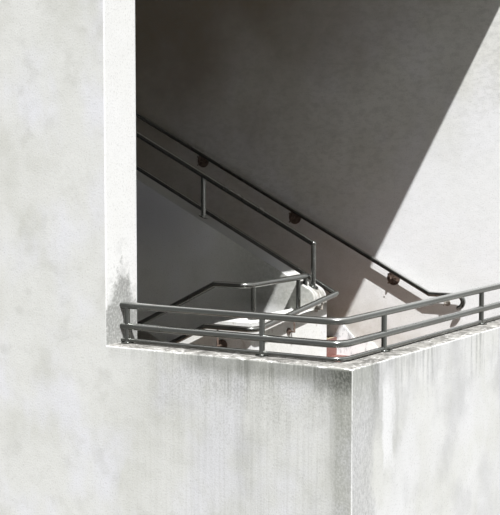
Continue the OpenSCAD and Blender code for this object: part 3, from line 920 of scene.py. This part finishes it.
class STAIR_OT_walls(bpy.types.Operator):
    """Paint the walls and parapets and wear their edges"""
    bl_idname = "stair.walls"
    bl_label = "Walls"

    def execute(self, context):
        finish = context.scene.stair_finish
        tests = surface_tests()
        plain = painted_render("old paint", finish, cloudy=0.6)
        inside = painted_render("inner parapet paint with painted shade", finish,
                                [smeared_foot])
        front = painted_render(
            "old paint on the front", finish,
            [grey_parapet, rain_runs, corner_band, jamb_mould,
             broad_runs, chipped_edge_and_painted_glint, dirty_top], cloudy=0.75)
        side = painted_render(
            "streaked paint on the right side", finish,
            [broad_runs, rain_runs, chipped_edge_and_painted_glint, dirty_top], cloudy=0.3)
        roof = painted_render("old paint on the roof", finish, [roof_screed])
        back = painted_render("back wall paint with painted light and shade", finish,
                              [back_wall_tones])
        for name in WALLS:
            worn_copy(name, tests, finish.arris,
                      back if name == "back_wall" else plain)
        worn_copy("roof_slab", tests, finish.arris, roof)
        for name in INNER_PARAPETS:
            worn_copy(name, tests, finish.arris, inside)
        worn_copy("front_wall", tests, finish.arris, front, [cap_z])
        worn_copy("front_parapet", tests, finish.arris, front)
        worn_copy("right_parapet", tests, finish.arris, side)
        return {"FINISHED"}


class STAIR_OT_floors(bpy.types.Operator):
    """Paint the flights, landings and skirtings and lay the nosings"""
    bl_idname = "stair.floors"
    bl_label = "Floors"

    def execute(self, context):
        finish = context.scene.stair_finish
        red = floor_paint("red floor paint", finish)
        white = skirting_paint("white skirting paint")
        for name in FLIGHTS:
            cover(name, red)
        for name in FLOORS:
            (x0, y0, _), (x1, y1, _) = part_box(name)
            cover(name, floor_paint(
                "worn " + name.replace("_", " "), finish,
                ((x0 + PATH_EDGE, y0 + PATH_EDGE),
                 (x1 - PATH_EDGE, y1 - PATH_EDGE))))
        for name in SKIRTINGS:
            cover(name, white)
        width = context.scene.stair_fixings.nosing_width
        tree = nosing_tree(nosing_grit("grit nosing"))
        half_low, half_high = (Vector(c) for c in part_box("half_landing"))
        floor_high = Vector(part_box("floor_landing")[1])
        for name, way, last in (
                ("lower_flight", 1, (half_low.x, half_high.z)),
                ("upper_flight", -1, (floor_high.x, floor_high.z))):
            start, end = (Vector(c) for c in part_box(name))
            places = [(x + way * (width / 2 - NOSING_LIP),
                       (start.y + end.y) / 2, z + NOSING_THICK / 2)
                      for x, z in step_edges(name, way) + [last]]
            made = points_object(name + "_nosings", places,
                                 [(0, 0, 0)] * len(places))
            grow(made, tree, {
                "Width": width, "Length": end.y - start.y - 2 * NOSING_GAP,
                "Thickness": NOSING_THICK})
        return {"FINISHED"}


class STAIR_OT_tubes(bpy.types.Operator):
    """Finish the guard rails, handrails and their rusty plates"""
    bl_idname = "stair.tubes"
    bl_label = "Tubes"

    def execute(self, context):
        finish = context.scene.stair_finish
        steel = satin_tube("satin steel tube with painted sheen and shade", finish)
        rust = rusted_plate("rusted plate", finish)
        for name in TUBES:
            smooth_copy(name, steel)
        for name in RUSTY_PLATES:
            smooth_copy(name, rust)
        return {"FINISHED"}


class STAIR_OT_fixings(bpy.types.Operator):
    """Bolt the flanges, weld the posts and screw on the wall plates"""
    bl_idname = "stair.fixings"
    bl_label = "Fixings"

    def execute(self, context):
        sizes = context.scene.stair_fixings
        steel = bpy.data.materials["satin steel tube with painted sheen and shade"]
        rust = bpy.data.materials["rusted plate"]
        bolts = head_ring_tree("flange bolts", 6, steel)
        screws = head_ring_tree("plate screws", 12, rust)
        welds = weld_tree(steel)
        for name, pitch in (("guard_post_flanges", 0),
                            ("lower_inner_flanges", -1),
                            ("upper_inner_flanges", 1)):
            places, turns = flange_spots(name, pitch)
            grow(points_object(name + "_bolts", places, turns), bolts, {
                "Ring": BOLT_RING, "Across": sizes.bolt_across,
                "Height": BOLT_HEIGHT, "Count": 4})
            grow(points_object(name + "_welds", places, turns), welds, {
                "Radius": WELD_RING, "Thickness": sizes.weld})
        for name in RUSTY_PLATES:
            same_width = {}
            for place, turn, across in plate_spots(name):
                same_width.setdefault(round(across, 3), []).append(
                    (place, turn))
            for across, spots in sorted(same_width.items()):
                made = points_object(
                    "%s_%d_screws" % (name, across / MM), *zip(*spots))
                grow(made, screws, {
                    "Ring": across * SCREW_RING,
                    "Across": min(sizes.screw_across, across * SCREW_SHARE),
                    "Height": SCREW_HEIGHT, "Count": 3})
        return {"FINISHED"}


class STAIR_OT_stage(bpy.types.Operator):
    """Lay the floor and set the lights and the camera"""
    bl_idname = "stair.stage"
    bl_label = "Stage"

    def execute(self, context):
        scene = context.scene
        stage = scene.stair_stage
        lay_floor()
        hang_lamp("key", stage.sun_strength, KEY_SPREAD, KEY_WAY)
        hang_lamp("back", stage.back_strength, BACK_SPREAD, BACK_WAY)
        set_world(stage.fill_strength)
        camera = link("camera", bpy.data.cameras.new("camera"))
        camera.data.lens = stage.lens
        camera.data.sensor_width = CAMERA_SENSOR
        camera.data.clip_end = CAMERA_CLIP
        corner = Vector((right_x, front_y, cap_z))
        camera.location = corner + Vector(CAMERA_PLACE)
        camera.rotation_euler = (math.radians(90 - CAMERA_DOWN), 0,
                                 math.radians(CAMERA_LEFT))
        scene.camera = camera
        scene.view_settings.view_transform = "Standard"
        return {"FINISHED"}


def hang_lamp(name, strength, spread, way):
    """A sun lamp: spread is its width in degrees, way where it shines."""
    light = bpy.data.lights.new(name, "SUN")
    light.energy = strength
    light.angle = math.radians(spread)
    lamp = link(name, light)
    lamp.rotation_euler = Vector(way).to_track_quat("-Z", "Y").to_euler()


def backdrop_rays(tree):
    """1 for the rays that see the pale backdrop, 0 for those that light."""
    path = add(tree, "ShaderNodeLightPath").outputs
    camera, glossy, through = (Field(tree, path[name]) for name in (
        "Is Camera Ray", "Is Glossy Ray", "Is Transmission Ray"))
    return camera.calc("MAXIMUM", camera.calc("MAXIMUM", camera, glossy),
                       through)


def lay_floor():
    """A pale floor, darker for the light that it throws on the stair."""
    reach = FLOOR_REACH
    data = bpy.data.meshes.new("floor")
    data.from_pydata([(-reach, -reach, 0), (reach, -reach, 0),
                      (reach, reach, 0), (-reach, reach, 0)], [],
                     [(0, 1, 2, 3)])
    on = Surface("pale floor")
    pale = coat("#949492", "#9a9a98", on.mottle(0.8, 3).fade(0.3, 0.7))
    colour = coat("#5a5a58", pale, backdrop_rays(on.tree))
    data.materials.append(on.finish(colour, 0.9, IOR=PAINT_IOR))
    link("floor", data)


def set_world(strength):
    """Soft bluish light, strongest overhead, and a pale backdrop that is
    lighter higher up."""
    world = bpy.data.worlds.new("studio")
    bpy.context.scene.world = world
    world.use_nodes = True
    tree = world.node_tree
    tree.nodes.clear()
    way = add(tree, "ShaderNodeTexCoord").outputs["Generated"]
    height = Field(tree, add(
        tree, "ShaderNodeSeparateXYZ", {0: way}).outputs["Z"])
    soft = add(tree, "ShaderNodeBackground", {
        "Color": paint("#dbe4f5"),
        "Strength": height.fade(-0.1, 1.0, strength * 0.12, strength)})
    pale = add(tree, "ShaderNodeBackground", {
        "Color": coat("#c0c1c0", "#ffffff", height.fade(0.0, 0.7)),
        "Strength": 1.0})
    mixed = add(tree, "ShaderNodeMixShader", {
        0: backdrop_rays(tree), 1: soft.outputs[0], 2: pale.outputs[0]})
    add(tree, "ShaderNodeOutputWorld", {"Surface": mixed.outputs[0]})


OPERATORS = (STAIR_OT_walls, STAIR_OT_floors, STAIR_OT_tubes,
             STAIR_OT_fixings, STAIR_OT_stage)


class STAIR_PT_panel(bpy.types.Panel):
    """Lists the stair's steps and settings"""
    bl_idname = "STAIR_PT_panel"
    bl_label = "Fire escape stair"
    bl_space_type = "VIEW_3D"
    bl_region_type = "UI"
    bl_category = "Stair"

    def draw(self, context):
        for group in ("stair_finish", "stair_fixings", "stair_stage"):
            settings = getattr(context.scene, group)
            for name in settings.__annotations__:
                self.layout.prop(settings, name)
        for step in OPERATORS:
            self.layout.operator(step.bl_idname)


CLASSES = (StairFinish, StairFixings, StairStage, *OPERATORS, STAIR_PT_panel)


def register():
    for kind in CLASSES:
        bpy.utils.register_class(kind)
    pointer = bpy.props.PointerProperty
    bpy.types.Scene.stair_finish = pointer(type=StairFinish)
    bpy.types.Scene.stair_fixings = pointer(type=StairFixings)
    bpy.types.Scene.stair_stage = pointer(type=StairStage)


def unregister():
    del bpy.types.Scene.stair_stage
    del bpy.types.Scene.stair_fixings
    del bpy.types.Scene.stair_finish
    for kind in reversed(CLASSES):
        bpy.utils.unregister_class(kind)


def main():
    register()
    bpy.ops.stair.walls()
    bpy.ops.stair.floors()
    bpy.ops.stair.tubes()
    bpy.ops.stair.fixings()
    bpy.ops.stair.stage()


if __name__ == "__main__":
    main()
